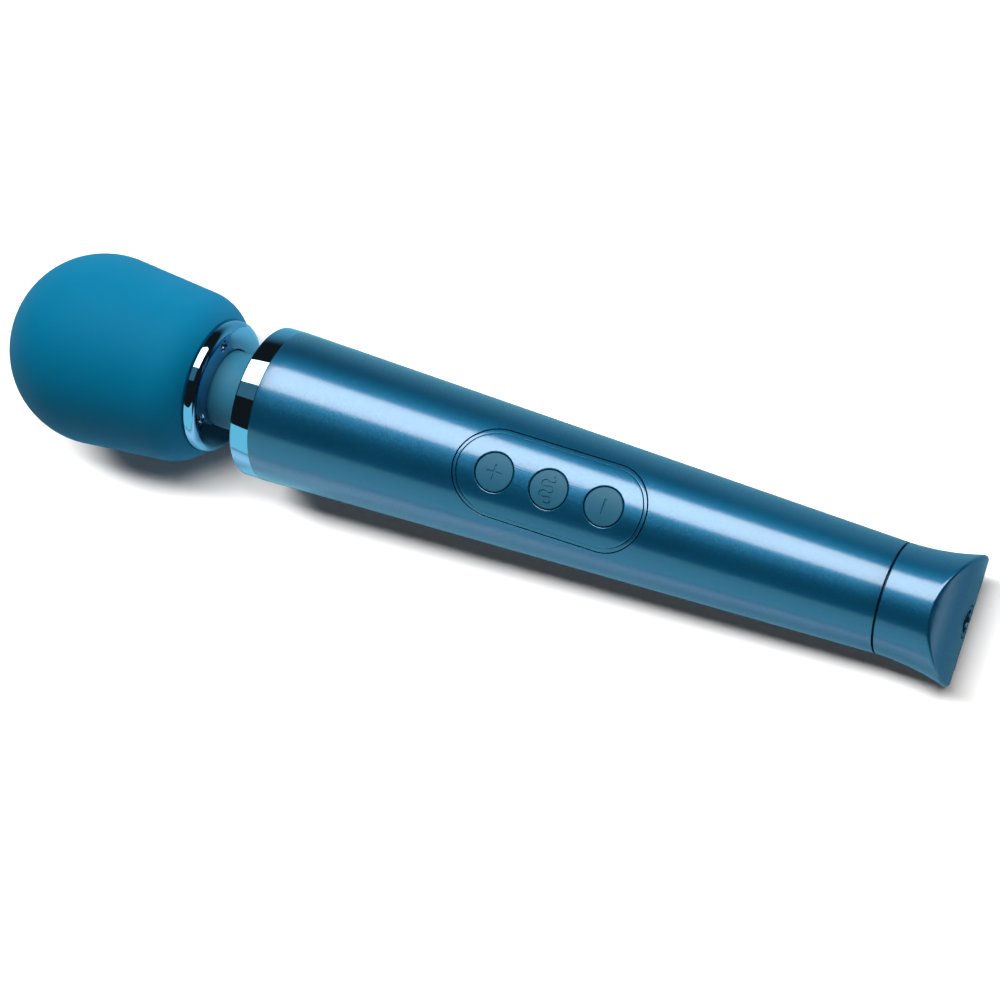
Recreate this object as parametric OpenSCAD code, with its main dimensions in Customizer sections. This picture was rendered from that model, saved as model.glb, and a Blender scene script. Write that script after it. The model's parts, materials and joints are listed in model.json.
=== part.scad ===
// Handheld wand massager, cordless, with a soft head on a flexible neck.
// All sizes are in millimetres. Pieces are drawn along the wand's axis (X, nose at 0, buttons facing +Z)
// and laid down together, so that the wand rests on its head and on the back rim of its tail.

/* [Head] */
// Largest diameter of the soft head
head_d = 48; // [46:0.5:52]
// How much flatter the nose is than a ball of the head's diameter
nose_flat = 1.2; // [0.6:0.1:2.4]
// How far the arc of the shoulder is drawn in from the largest radius
shoulder_in = 0.85; // [0.4:0.05:1.4]
// Radius of the rounded back corner
corner_r = 10.95; // [10:0.05:12]
// Turn of the back corner before it meets the collar, in degrees
corner_turn = 59; // [54:0.5:62]
// Thickness of the soft cover
cover_t = 2.5; // [2:0.1:3]
// Wall of the two hard shells under the cover
head_wall = 2; // [1.6:0.1:2.2]
// Length of the lip that joins the two shells
lip_len = 2; // [1.5:0.1:3]

/* [Collar] */
// Visible length of the plated collar
collar_len = 3.1; // [2.6:0.1:4]
// How far the collar stands proud of the cover's edge
collar_step = 0.25; // [0:0.05:0.5]
// Rounding of the collar's back edge
collar_lip = 1.1; // [0.5:0.1:1.6]
// Radius of the bosses that the collar is screwed to
boss_r = 1.7; // [1.5:0.1:1.8]
// Length of those bosses
boss_len = 9; // [7:0.5:10]
// Gap between those bosses and what stands inside them
boss_gap = 0.16; // [0.1:0.02:0.4]

/* [Motor] */
// Distance from the nose to the front of the eccentric weight
nose_room = 9.2; // [8.6:0.1:10.5]
// Radius of the motor
motor_r = 10.2; // [9:0.1:10.4]
// Length of the motor can
can_len = 27; // [24:0.5:28]
// Length of the motor's end bell
bell_len = 3.8; // [3.4:0.1:4.5]
// Wall of the motor can
can_wall = 0.8; // [0.6:0.1:1.2]
// Radius of the motor shaft
shaft_r = 1.25; // [1:0.05:1.4]
// Radius of the shaft's two bushings
bushing_r = 2; // [1.8:0.05:2.4]
// Thickness of the motor magnets
magnet_t = 1.6; // [1.2:0.1:2]
// Length of the armature
armature_len = 15; // [12:0.5:17]
// Length of the eccentric weight
weight_len = 7.5; // [5:0.5:8]
// Wall of the cradle that holds the motor
cradle_wall = 1.2; // [0.9:0.1:1.4]

/* [Neck] */
// Diameter of the soft sleeve round the neck
neck_d = 19.3; // [18:0.1:20]
// Length of the neck that shows between the collar and the handle
neck_len = 11.3; // [10:0.1:16]
// Wall of the sleeve
sleeve_t = 1.6; // [1.2:0.1:2]
// How far the sleeve goes into its seats
sleeve_in = 2.5; // [1.5:0.1:3]
// Radius of the flexible core inside the sleeve
core_r = 6.5; // [5.5:0.1:7]
// Radius of the hole for the leads through the core
core_bore_r = 2.6; // [2.2:0.1:3]
// Thickness of the core's end flanges
flange_t = 2; // [1.5:0.1:2.5]
// How far the flanges reach beyond their holes
flange_hold = 1.3; // [1:0.1:1.5]

/* [Handle] */
// Diameter of the handle at the front
handle_d = 37.4; // [36:0.2:40]
// Diameter of the handle at the tail seam
handle_end_d = 26.2; // [25:0.2:29]
// Length of the painted handle shell
handle_len = 156.6; // [150:0.2:180]
// Wall of the handle shell
handle_wall = 1.8; // [1.4:0.1:2]
// Visible length of the plated ring at the handle's front
ring_len = 5.2; // [4.8:0.1:7]
// Rounding of the ring's front edge
ring_edge = 0.5; // [0.2:0.1:1]
// Thickness of the ring's front plate
ring_plate = 4.2; // [3.6:0.1:4.4]
// Length of the ring's spigot inside the handle
ring_spigot = 6; // [5.5:0.1:8]
// Thickness of the plate that clamps the neck core
clamp_t = 2; // [1.5:0.1:2.5]

/* [Controls] */
// Diameter of the three buttons
button_d = 9.2; // [8:0.1:10]
// Distance from one button to the next
button_pitch = 13.75; // [12.5:0.05:15]
// Gap round each button
button_gap = 0.3; // [0.2:0.05:0.5]
// Travel of a button
button_travel = 0.6; // [0.4:0.05:0.8]
// Half the width of the opening in the handle shell
opening_r = 10.4; // [10:0.1:11.5]
// Width of the trim round the control panel
bezel_w = 0.85; // [0.6:0.05:1.2]
// Hairline gap on each side of the trim
hairline = 0.12; // [0.08:0.02:0.2]
// Depth of the control panel under the handle's crest
panel_t = 4.5; // [4.2:0.1:5]
// Thickness of the circuit board
board_t = 1.6; // [1:0.1:1.8]
// Half the width of the circuit board
board_half = 8.5; // [7.8:0.1:9]
// Side of a push switch
switch_side = 6; // [5:0.1:6.2]
// Height of a push switch's case
switch_h = 3.3; // [3:0.1:3.8]

/* [Power] */
// Diameter of the battery cell
cell_d = 18.2; // [17:0.1:18.6]
// Length of the battery cell
cell_len = 49.5; // [45:0.1:60]
// Thickness of the chassis walls and ribs
rib_t = 1.6; // [1.2:0.1:2]

/* [Tail] */
// Length of the tail from the seam to its crest
tail_len = 17.75; // [16:0.05:22]
// Width of the dark seam in front of the tail
seam = 0.45; // [0.3:0.05:0.8]
// Radius of the tail's flare
flare_r = 58; // [50:1:80]
// Distance from the seam to the slimmest place of the tail
waist_at = 1; // [0:0.1:3]
// Radius of the rounded end face
end_r = 20.8; // [19:0.1:26]
// Length of the tail's spigot inside the handle
tail_spigot = 9; // [8:0.1:12]
// Wall of the tail's spigot
spigot_wall = 2.8; // [2.4:0.1:3]
// Radius of the seal's section
seal_r = 0.9; // [0.7:0.05:1]
// Radius of the hole for the charging socket
socket_hole_r = 3.9; // [3.6:0.1:4.4]
// Inside radius of the charging socket
socket_r = 2.75; // [2.6:0.05:3]
// Radius of the charging pin
pin_r = 1.05; // [0.9:0.05:1.15]
// Depth of the charging socket
socket_depth = 10; // [9:0.1:11]

/* [Fits] */
// Gap between curved pieces that are fitted together
seat = 0.05; // [0.03:0.01:0.08]
// Gap between pieces that slide into each other
slip = 0.1; // [0.06:0.01:0.15]
// Running gap round a shaft
running = 0.03; // [0.02:0.01:0.08]
// Free space kept between pieces that move apart or are only close
clear = 0.3; // [0.25:0.01:0.4]

/* [Hidden] */
$fn = 96;

// Colours
soft_teal = [0.05, 0.45, 0.62];
plated = [0.45, 0.72, 0.82];
flake_blue = [0.08, 0.40, 0.56];
slate = [0.24, 0.46, 0.57];
dark = [0.12, 0.13, 0.15];
steel = [0.72, 0.73, 0.75];
copper = [0.72, 0.42, 0.22];
nylon = [0.85, 0.85, 0.82];
board_green = [0.07, 0.30, 0.18];

// Layers of the head, from its outside
shell_out = cover_t + seat;
shell_in = shell_out + head_wall;
lip_mid = shell_in - head_wall / 2;

// Stack of the motor, from the nose to the neck
can_nose = 1.5;
lead_room = 2.5;
weight_front = nose_room;
weight_back = weight_front + weight_len;
can_front = weight_back + clear * 2 + can_nose;
can_back = can_front + can_len;
bell_back = can_back + bell_len;
flange_front = bell_back + lead_room;
cup_end = flange_front + flange_t;

// Radii at the neck: the bosses stand round the motor's cradle and the flange of the neck core
neck_r = neck_d / 2;
neck_hole_r = neck_r + slip;
flange_r = neck_hole_r + flange_hold;
cradle_r = motor_r + seat + cradle_wall;
screw_circle = max(cradle_r, flange_r) + boss_gap + boss_r;
mouth_r = screw_circle + boss_r + slip;

// Outline of the head: nose arc, shoulder arc, straight side and back corner, all tangent
nose_r = head_d / 2 + nose_flat;
shoulder_r = head_d / 2 - shoulder_in;
shoulder_at = nose_r - sqrt(pow(nose_r - shoulder_r, 2) - pow(shoulder_in, 2));
nose_turn = atan2(shoulder_in, nose_r - shoulder_at);
corner_at = cup_end - (corner_r - shell_out) * sin(corner_turn);
corner_in = mouth_r - (corner_r - cover_t) * cos(corner_turn);
side_run = [corner_at - shoulder_at, corner_in - shoulder_in];
head_slope = asin((shoulder_r - corner_r) / norm(side_run)) - atan2(side_run.y, side_run.x);

// Points of an arc; angles are counted from the nose direction
function arc(c, r, a0, a1, n, first = 0) =
  [for (i = [first:n]) c + r * [-cos(a0 + (a1 - a0) * i / n), sin(a0 + (a1 - a0) * i / n)]];
function reversed(p) = [for (i = [len(p) - 1:-1:0]) p[i]];
function front_arcs(inset) = concat(
  arc([nose_r, 0], nose_r - inset, 0, nose_turn, 5),
  arc([shoulder_at, shoulder_in], shoulder_r - inset, nose_turn, 90, 14, 1));
function back_arcs(inset) = concat(
  arc([shoulder_at, shoulder_in], shoulder_r - inset, 90, 90 + head_slope, 2, 1),
  arc([corner_at, corner_in], corner_r - inset, 90 + head_slope, 90 + corner_turn, 10));
function last(p) = p[len(p) - 1];
// Radius of the straight side at a place along the axis
function side(inset, s) =
  shoulder_in + (shoulder_r - inset) / cos(head_slope) - (s - shoulder_at) * tan(head_slope);

// Places along the neck
cover_end = last(back_arcs(0)).x;
collar_r = last(back_arcs(0)).y + collar_step;
collar_back = cover_end + collar_len;
ring_front = collar_back + neck_len;
ring_back = ring_front + ring_len;
neck_mid = (collar_back + ring_front) / 2;

// Collar screws
screw_r = 0.65;
screw_head_r = 1.2;
screw_head_h = 0.8;
screw_sink = 1.3;
screw_hex_r = 0.6;
screw_tip_gap = 1;

// Motor, its cradle and the room kept round the turning weight
weight_room = 2.2;
hub_r = shaft_r + 2;
weight_r = sqrt(pow(nose_r - shell_in, 2) - pow(nose_r - weight_front, 2)) - weight_room;
web_t = 2;
web_front = shoulder_at + lip_len + slip;
web_back = cup_end - boss_len - clear - web_t;
can_bore_r = motor_r - can_wall;
magnet_r = can_bore_r - seat;
armature_r = magnet_r - magnet_t - clear;
brush_room = 1.8;
bell_floor = can_back + brush_room;
magnet_front = can_front + can_wall + 4;
magnet_back = can_back - 1.5;
magnet_split = 2.5;
armature_front = magnet_front + 1;
armature_back = armature_front + armature_len;
slot_w = 1.2;
commutator_r = 2.8;
shaft_tip = 0.5;

// Handle, a straight taper
handle_r = handle_d / 2;
handle_end_r = handle_end_d / 2;
shell_back = ring_back + handle_len;
taper = atan((handle_r - handle_end_r) / handle_len);
function grip_r(s) = handle_r - (s - ring_back) * tan(taper);
function inside_r(s) = grip_r(s) - handle_wall;

// Neck clamp inside the ring
spigot_end = ring_back + ring_spigot;
plate_back = ring_front + ring_plate;
ring_wall = 1.4;
ring_bore_r = inside_r(spigot_end) - slip - ring_wall;
clamp_front = plate_back + flange_t + seat;
clamp_back = clamp_front + clamp_t;
clamp_r = ring_bore_r - slip;
clamp_screw_circle = (flange_r + clamp_r) / 2;
clamp_screw_r = 0.75;
clamp_head_r = 1.4;
clamp_head_h = 1;
clamp_hex_r = 0.7;
clamp_screw_deep = 3;

// Battery, chassis and controls, stacked from the ring backwards
tab_t = 0.3;
tab_half = 2;
tab_fold = 5;
chassis_front = spigot_end + clear;
cell_front = chassis_front + rib_t + tab_t + seat;
cell_back = cell_front + cell_len;
board_front = cell_back + tab_t + clear;
board_edge = 1;
board_margin = switch_side / 2 + board_edge;
board_tail = 7.5;
chassis_r_gap = slip * 1.5;
cell_r = cell_d / 2;
cell_z = -(inside_r(cell_back) - chassis_r_gap - rib_t - slip - clear - cell_r);

// Depths under the handle's crest, in the panel's own frame
button_r = button_d / 2;
button_hole_r = button_r + button_gap;
bezel_out = opening_r - hairline;
bezel_in = bezel_out - bezel_w;
panel_r = bezel_in - hairline;
ledge_deep = 2.2;
ledge_w = 1.2;
bezel_deep = panel_t + ledge_deep;
button_flange_w = 0.5;
button_flange_r = button_hole_r + button_flange_w;
button_flange_t = 1;
button_bottom = -(panel_t + clear / 2 + button_flange_t);
switch_top = button_bottom - button_travel - clear * 2;
board_top = switch_top - switch_h;
board_bottom = board_top - board_t;
panel_at = board_front + (board_margin + button_pitch) * cos(taper) - board_bottom * sin(taper);
panel_top = grip_r(panel_at);
chassis_back = panel_at + button_pitch + board_tail + rib_t;
plunger_r = 1.7;
plunger_in = 1.2;
button_places = [-button_pitch, 0, button_pitch];
post_x = button_pitch / 2;
post_edge = 2.2;
post_y = board_half - post_edge;
post_r = 1.9;
board_screw_r = 0.8;
board_screw_deep = 4;
board_head_r = 1.6;
board_head_h = 1;
board_hex_r = 0.7;
mark_deep = 0.25;
mark_w = 0.42;
mark_len = 3.8;
wave_len = 6.2;
wave_high = 1.5;
wave_count = 3;

// Tail
crest = shell_back + tail_len;
flare_at = shell_back + waist_at;
flare_in = handle_end_r + sqrt(pow(flare_r, 2) - pow(waist_at, 2));
function tail_r(s) = flare_in - sqrt(pow(flare_r, 2) - pow(s - flare_at, 2));
end_at = crest - end_r;
function rim_at(s, n) = n == 0 ? s : rim_at(end_at + sqrt(pow(end_r, 2) - pow(tail_r(s), 2)), n - 1);
rim_s = rim_at(crest, 20);
spigot_front = shell_back - tail_spigot;
spigot_r = inside_r(shell_back) - slip;
hollow_r = spigot_r - spigot_wall;
hollow_deep = 4.5;
hollow_end = shell_back + hollow_deep;
seal_at = spigot_front + tail_spigot / 2;
seal_circle = inside_r(seal_at) - seat - seal_r;
jack_r = socket_hole_r - slip * 1.5;
socket_floor = crest - socket_depth;
bush_len = 5;
bush_front = crest - bush_len;
jack_flange_w = 1.6;
jack_flange_t = 1.5;
jack_flange_r = jack_r + jack_flange_w;
jack_back = hollow_end - jack_flange_t;
pin_sunk = 1;
pin_tip = crest - pin_sunk;
pin_deep = 1.5;
pin_root = socket_floor - pin_deep;
pin_shank_r = pin_r + 0.4;

// The wand is laid on the shoulder of its head and the back rim of its tail
reach = rim_s - shoulder_at;
drop = tail_r(rim_s) - shoulder_in;
tilt = asin(shoulder_r / norm([reach, drop])) - atan2(drop, reach);
lift = shoulder_at * sin(tilt) + shoulder_in * cos(tilt) + shoulder_r;
nose_x = nose_r * cos(tilt) - nose_r;
tail_x = end_at * cos(tilt) + end_r;
mid_x = (nose_x + tail_x) / 2;
function laid(p) =
  [p.x * cos(tilt) + p.z * sin(tilt) - mid_x, p.y, p.z * cos(tilt) - p.x * sin(tilt) + lift];
echo(tilt = tilt, press_tilt = tilt + taper, button_travel = button_travel, charging_pin_r = pin_r);
echo(neck_centre = laid([neck_mid, 0, 0]), motor_centre = laid([can_front, 0, 0]));
echo(pin_middle = laid([(socket_floor + pin_tip) / 2, 0, 0]), pin_length = pin_tip - socket_floor);
echo(head_centre = laid([shoulder_at, 0, 0]), grip_centre = laid([panel_at, 0, 0]));

module lay() translate([-mid_x, 0, lift]) rotate([0, tilt, 0]) children();
module on_panel() translate([panel_at, 0, panel_top]) rotate([0, taper, 0]) children();
// A solid turned round the wand's axis, from points of place and radius
module turned(p) rotate([0, 90, 0]) rotate_extrude() polygon([for (q = p) [q.y, q.x]]);
module rod(s0, s1, r, y = 0, z = 0) translate([s0, y, z]) rotate([0, 90, 0]) cylinder(r = r, h = s1 - s0);
module around(radius) for (a = [45:90:315]) rotate([a, 0, 0]) translate([0, radius, 0]) children();

// Stadium outline over the buttons
module stadium(r) {
  for (x = [-button_pitch, button_pitch]) translate([x, 0]) circle(r = r);
  square([2 * button_pitch, 2 * r], center = true);
}
module stadium_block(r, z0, z1) translate([0, 0, z0]) linear_extrude(z1 - z0) stadium(r);
module grip_cone(inset, s0, s1)
  turned([[s0, 0], [s0, grip_r(s0) - inset], [s1, grip_r(s1) - inset], [s1, 0]]);

// A lead swept along a route, with eight sides
lead_r = 0.45;
lead_y = 1.2;
brush_y = 3.2;
tab_lead_y = 1;
cell_lead_y = 4.2;
drive_lead_y = 6;
jack_lead_y = 1.6;
lead_bend = 6;
lead_land = 3;
function unit(v) = v / norm(v);
function heading(p, i) = unit(p[min(i + 1, len(p) - 1)] - p[max(i - 1, 0)]);
function lead_ring(p, i) =
  let (t = heading(p, i), w = unit(cross(t, [0, 0, 1])), u = cross(w, t))
  [for (k = [0:7]) p[i] + lead_r * (cos(45 * k) * w + sin(45 * k) * u)];
module lead(p) {
  rings = [for (i = [0:len(p) - 1]) each lead_ring(p, i)];
  sides = [for (i = [0:len(p) - 2], k = [0:7])
    let (a = 8 * i + k, b = 8 * i + (k + 1) % 8) each [[a, b, b + 8], [a, b + 8, a + 8]]];
  first = [for (k = [1:6]) [0, k + 1, k]];
  end = 8 * (len(p) - 1);
  close = [for (k = [1:6]) [end, end + k, end + k + 1]];
  polyhedron(points = rings, faces = concat(first, sides, close));
}
// Two leads side by side, mirrored across the wand's middle plane
module lead_pair(p) {
  lead(p);
  lead([for (q = p) [q.x, -q.y, q.z]]);
}

module head_cover() color(soft_teal) lay()
  turned(concat(front_arcs(0), back_arcs(0), [[cover_end, mouth_r]],
    reversed(back_arcs(cover_t)), reversed(front_arcs(cover_t))));

module head_dome() color(nylon) lay()
  turned(concat(front_arcs(shell_out),
    [[shoulder_at, shoulder_in + shoulder_r - lip_mid],
     [shoulder_at + lip_len, side(lip_mid, shoulder_at + lip_len) - seat],
     [shoulder_at + lip_len, side(shell_in, shoulder_at + lip_len)]],
    reversed(front_arcs(shell_in))));

module head_cup() color(nylon) lay() {
  lip_end = shoulder_at + lip_len + seat;
  difference() {
    union() {
      turned(concat([[shoulder_at, shoulder_in + shoulder_r - lip_mid + seat]],
        [[shoulder_at, shoulder_in + shoulder_r - shell_out]], back_arcs(shell_out),
        [[cup_end, last(back_arcs(shell_in)).y]], reversed(back_arcs(shell_in)),
        [[lip_end, side(shell_in, lip_end)], [lip_end, side(lip_mid, lip_end) + seat]]));
      around(screw_circle) rod(cup_end - boss_len, cup_end, boss_r);
    }
    around(screw_circle) rod(cup_end - boss_len + screw_tip_gap, cup_end + 1, screw_r + seat);
  }
}

module head_collar() color(plated) lay() {
  difference() {
    turned(concat(
      [[cup_end, neck_hole_r], [cup_end, mouth_r - slip]],
      [[cover_end, mouth_r - slip], [cover_end, collar_r]],
      arc([collar_back - collar_lip, collar_r - collar_lip], collar_lip, 90, 180, 6),
      [[collar_back, neck_hole_r]]));
    around(screw_circle) rod(cup_end - 1, collar_back + 1, screw_r + slip);
    around(screw_circle) rod(collar_back - screw_sink, collar_back + 1, screw_head_r + slip);
  }
}

module collar_screws() color(steel) lay() around(screw_circle) {
  seat_s = collar_back - screw_sink;
  rod(cup_end - boss_len + 2 * screw_tip_gap, seat_s, screw_r);
  difference() {
    rod(seat_s, seat_s + screw_head_h, screw_head_r);
    translate([seat_s + screw_head_h / 2, 0, 0]) rotate([0, 90, 0])
      cylinder(r = screw_hex_r, h = screw_head_h, $fn = 6);
  }
}

module motor_cradle() color(nylon) lay() {
  bore = motor_r + seat;
  inset = shell_in + seat;
  turned([[can_front, bore], [flange_front - slip, bore], [flange_front - slip, cradle_r],
    [web_back + web_t, cradle_r], [web_back + web_t, side(inset, web_back + web_t)],
    [web_back, side(inset, web_back)], [web_back, cradle_r],
    [web_front + web_t, cradle_r], [web_front + web_t, side(inset, web_front + web_t)],
    [web_front, side(inset, web_front)], [web_front, cradle_r], [can_front, cradle_r]]);
}

module motor_can() color(steel) lay()
  turned([[can_front - can_nose, bushing_r + seat], [can_front - can_nose, bushing_r + can_wall * 1.5],
    [can_front, bushing_r + can_wall * 1.5], [can_front, motor_r], [can_back, motor_r],
    [can_back, can_bore_r], [can_front + can_wall, can_bore_r], [can_front + can_wall, bushing_r + seat]]);

module motor_end_bell() color(dark) lay()
  turned([[can_back, motor_r], [bell_back, motor_r], [bell_back, bushing_r + seat],
    [bell_floor, bushing_r + seat], [bell_floor, can_bore_r], [can_back, can_bore_r]]);

module motor_magnets() color(dark) lay() {
  in_r = magnet_r - magnet_t;
  intersection() {
    turned([[magnet_front, in_r], [magnet_front, magnet_r], [magnet_back, magnet_r], [magnet_back, in_r]]);
    union() for (y = [magnet_split, -magnet_split - motor_r]) translate([can_front, y, -motor_r])
      cube([can_len, motor_r, 2 * motor_r]);
  }
}

module motor_bushings() color(copper) lay() {
  bore = shaft_r + running;
  for (span = [[can_front - can_nose, can_front + can_wall], [bell_floor, bell_back]])
    turned([[span[0], bore], [span[0], bushing_r], [span[1], bushing_r], [span[1], bore]]);
}

module motor_shaft() color(steel) lay() rod(weight_front - shaft_tip, bell_back - shaft_tip, shaft_r);

module armature() color(copper) lay() difference() {
  turned([[armature_front, shaft_r + seat], [armature_front, armature_r],
    [armature_back, armature_r], [armature_back, shaft_r + seat]]);
  for (a = [60, 180, 300]) rotate([a, 0, 0]) translate([can_front, armature_r / 2, -slot_w / 2])
    cube([can_len, armature_r, slot_w]);
}

module commutator() color(copper) lay() {
  s0 = armature_back + clear;
  s1 = bell_floor - clear * 2;
  turned([[s0, shaft_r + seat], [s0, commutator_r], [s1, commutator_r], [s1, shaft_r + seat]]);
}

module eccentric_weight() color(steel) lay() difference() {
  union() {
    rod(weight_front, weight_back, hub_r);
    intersection() {
      rod(weight_front, weight_back, weight_r);
      translate([weight_front - 1, -weight_r, -2 * weight_r])
        cube([weight_len + 2, 2 * weight_r, 2 * weight_r]);
    }
  }
  rod(weight_front - 1, weight_back + 1, shaft_r + seat);
}

module motor_leads() color(dark) lay()
  lead_pair([[bell_back + seat, brush_y, 0], [bell_back + lead_room / 4, brush_y, 0],
    [bell_back + lead_room / 2, (brush_y + lead_y) / 2, 0],
    [bell_back + lead_room * 3 / 4, lead_y, 0], [flange_front - slip, lead_y, 0]]);

module neck_core() color(dark) lay()
  turned([[flange_front, core_bore_r], [flange_front, flange_r], [cup_end - slip, flange_r],
    [cup_end - slip, core_r], [plate_back + seat, core_r], [plate_back + seat, flange_r],
    [plate_back + flange_t, flange_r], [plate_back + flange_t, core_bore_r]]);

module neck_sleeve() color(slate) lay()
  turned([[collar_back - sleeve_in, neck_r - sleeve_t], [collar_back - sleeve_in, neck_r],
    [ring_front + sleeve_in, neck_r], [ring_front + sleeve_in, neck_r - sleeve_t]]);

module neck_leads() color(dark) lay()
  lead_pair([for (s = [flange_front - slip + seat, collar_back, ring_front, clamp_back]) [s, lead_y, 0]]);

module handle_ring() color(plated) lay() {
  edge = handle_r - ring_edge;
  difference() {
    turned(concat([[ring_front, neck_hole_r]],
      arc([ring_front + ring_edge, edge], ring_edge, 0, 90, 4),
      [[ring_back, handle_r], [ring_back, inside_r(ring_back) - slip]],
      [[spigot_end, inside_r(spigot_end) - slip], [spigot_end, ring_bore_r]],
      [[plate_back, ring_bore_r], [plate_back, neck_hole_r]]));
    around(clamp_screw_circle) rod(plate_back - clamp_screw_deep, plate_back + 1, clamp_screw_r + seat);
  }
}

module neck_clamp() color(nylon) lay() difference() {
  turned([[clamp_front, core_bore_r], [clamp_front, flange_r + slip], [plate_back, flange_r + slip],
    [plate_back, clamp_r], [clamp_back, clamp_r], [clamp_back, core_bore_r]]);
  around(clamp_screw_circle) rod(plate_back - 1, clamp_back + 1, clamp_screw_r + slip);
}

module neck_screws() color(steel) lay() around(clamp_screw_circle) {
  rod(plate_back - clamp_screw_deep + 0.5, clamp_back, clamp_screw_r);
  difference() {
    rod(clamp_back, clamp_back + clamp_head_h, clamp_head_r);
    translate([clamp_back + clamp_head_h / 2, 0, 0]) rotate([0, 90, 0])
      cylinder(r = clamp_hex_r, h = clamp_head_h, $fn = 6);
  }
}

module handle_shell() color(flake_blue) lay() difference() {
  turned([[ring_back, inside_r(ring_back)], [ring_back, handle_r],
    [shell_back, handle_end_r], [shell_back, inside_r(shell_back)]]);
  on_panel() stadium_block(opening_r, -handle_r * 0.6, handle_r);
}

module panel_bezel() color(flake_blue) lay() intersection() {
  on_panel() difference() {
    stadium_block(bezel_out, -bezel_deep, handle_r);
    stadium_block(bezel_in, -panel_t - seat, handle_r + 1);
    stadium_block(bezel_in - ledge_w, -bezel_deep - 1, handle_r);
  }
  grip_cone(0, ring_back, shell_back);
}

module control_panel() color(flake_blue) lay() intersection() {
  on_panel() difference() {
    stadium_block(panel_r, -panel_t, handle_r);
    for (x = button_places) translate([x, 0, -panel_t - 1]) cylinder(r = button_hole_r, h = handle_r);
  }
  grip_cone(0, ring_back, shell_back);
}

// A flat button with a retaining flange; the marks are cut into its top
module button(x) color(slate) lay() on_panel() translate([x, 0, 0]) difference() {
  union() {
    translate([0, 0, button_bottom]) cylinder(r = button_r, h = -button_bottom);
    translate([0, 0, button_bottom]) cylinder(r = button_flange_r, h = button_flange_t);
  }
  translate([0, 0, -mark_deep]) linear_extrude(1) children();
}

// Zigzag line across the wand
module wave_mark() {
  step = wave_len / (2 * wave_count);
  line = [for (i = [0:2 * wave_count]) [(i % 2 == 0 ? -1 : 1) * wave_high, -wave_len / 2 + i * step]];
  polygon(concat([for (q = line) q + [-mark_w, 0]], [for (q = reversed(line)) q + [mark_w, 0]]));
}

module button_plus() button(button_places[0]) union() {
  square([mark_w, mark_len], center = true);
  square([mark_len, mark_w], center = true);
}
module button_mode() button(button_places[1]) wave_mark();
module button_minus() button(button_places[2]) square([mark_w, mark_len], center = true);

module plunger(x) color(dark) lay() on_panel() translate([x, 0, switch_top - plunger_in])
  cylinder(r = plunger_r, h = button_bottom - switch_top + plunger_in);
module plunger_plus() plunger(button_places[0]);
module plunger_mode() plunger(button_places[1]);
module plunger_minus() plunger(button_places[2]);

module switches() color(dark) lay() on_panel() for (x = button_places) translate([x, 0, 0]) difference() {
  translate([-switch_side / 2, -switch_side / 2, board_top]) cube([switch_side, switch_side, switch_h]);
  translate([0, 0, switch_top - plunger_in - button_travel - clear])
    cylinder(r = plunger_r + slip, h = switch_h);
}

module at_posts() for (x = [-post_x, post_x], y = [-post_y, post_y]) translate([x, y, 0]) children();
module circuit_board() color(board_green) lay() on_panel() difference() {
  translate([-button_pitch - board_margin, -board_half, board_bottom])
    cube([2 * button_pitch + board_margin + board_tail, 2 * board_half, board_t]);
  at_posts() translate([0, 0, board_bottom - 1]) cylinder(r = board_screw_r + slip, h = board_t + 2);
}

module board_screws() color(steel) lay() on_panel() at_posts() {
  translate([0, 0, board_bottom - board_screw_deep])
    cylinder(r = board_screw_r, h = board_t + board_screw_deep);
  translate([0, 0, board_top]) difference() {
    cylinder(r = board_head_r, h = board_head_h);
    translate([0, 0, board_head_h / 2]) cylinder(r = board_hex_r, h = board_head_h, $fn = 6);
  }
}

// Controller, charger and coil on the board
chip = [5, 5, 1];
charger = [4, 4, 1.2];
coil_r = 1.8;
coil_h = 2;
coil_edge = 0.5;
module board_parts() color(dark) lay() on_panel() translate([0, 0, board_top]) {
  translate([-post_x - chip.x / 2, -chip.y / 2, 0]) cube(chip);
  translate([post_x - charger.x / 2, -charger.y / 2, 0]) cube(charger);
  translate([button_pitch + board_tail - coil_r - coil_edge, 0, 0]) cylinder(r = coil_r, h = coil_h);
}

// Frame inside the handle: a half tube with ribs under the cell and posts under the board
module chassis() color(nylon) lay() {
  inset = handle_wall + chassis_r_gap;
  cell_ribs = [for (i = [0:3]) chassis_front + i * (cell_back - chassis_front) / 4];
  difference() {
    intersection() {
      grip_cone(inset, chassis_front, chassis_back);
      union() {
        difference() {
          translate([chassis_front, -handle_r, -handle_r])
            cube([chassis_back - chassis_front, 2 * handle_r, handle_r + cell_z]);
          grip_cone(inset + rib_t, chassis_front - 1, chassis_back + 1);
        }
        for (s = cell_ribs) translate([s, -handle_r, -handle_r]) cube([rib_t, 2 * handle_r, handle_r]);
        on_panel() for (x = [-button_pitch - board_margin, button_pitch + board_tail - rib_t])
          translate([x, -handle_r, -2 * handle_r]) cube([rib_t, 2 * handle_r, 2 * handle_r + board_bottom]);
        on_panel() at_posts() translate([0, 0, -2 * handle_r])
          cylinder(r = post_r, h = 2 * handle_r + board_bottom);
      }
    }
    rod(cell_front - tab_t - seat, cell_back + tab_t + seat, cell_r + slip, 0, cell_z);
    on_panel() at_posts() translate([0, 0, board_bottom - board_screw_deep - 1])
      cylinder(r = board_screw_r + seat, h = board_screw_deep + 2);
  }
}

module battery_cell() color(soft_teal) lay() rod(cell_front, cell_back, cell_r, 0, cell_z);

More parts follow.
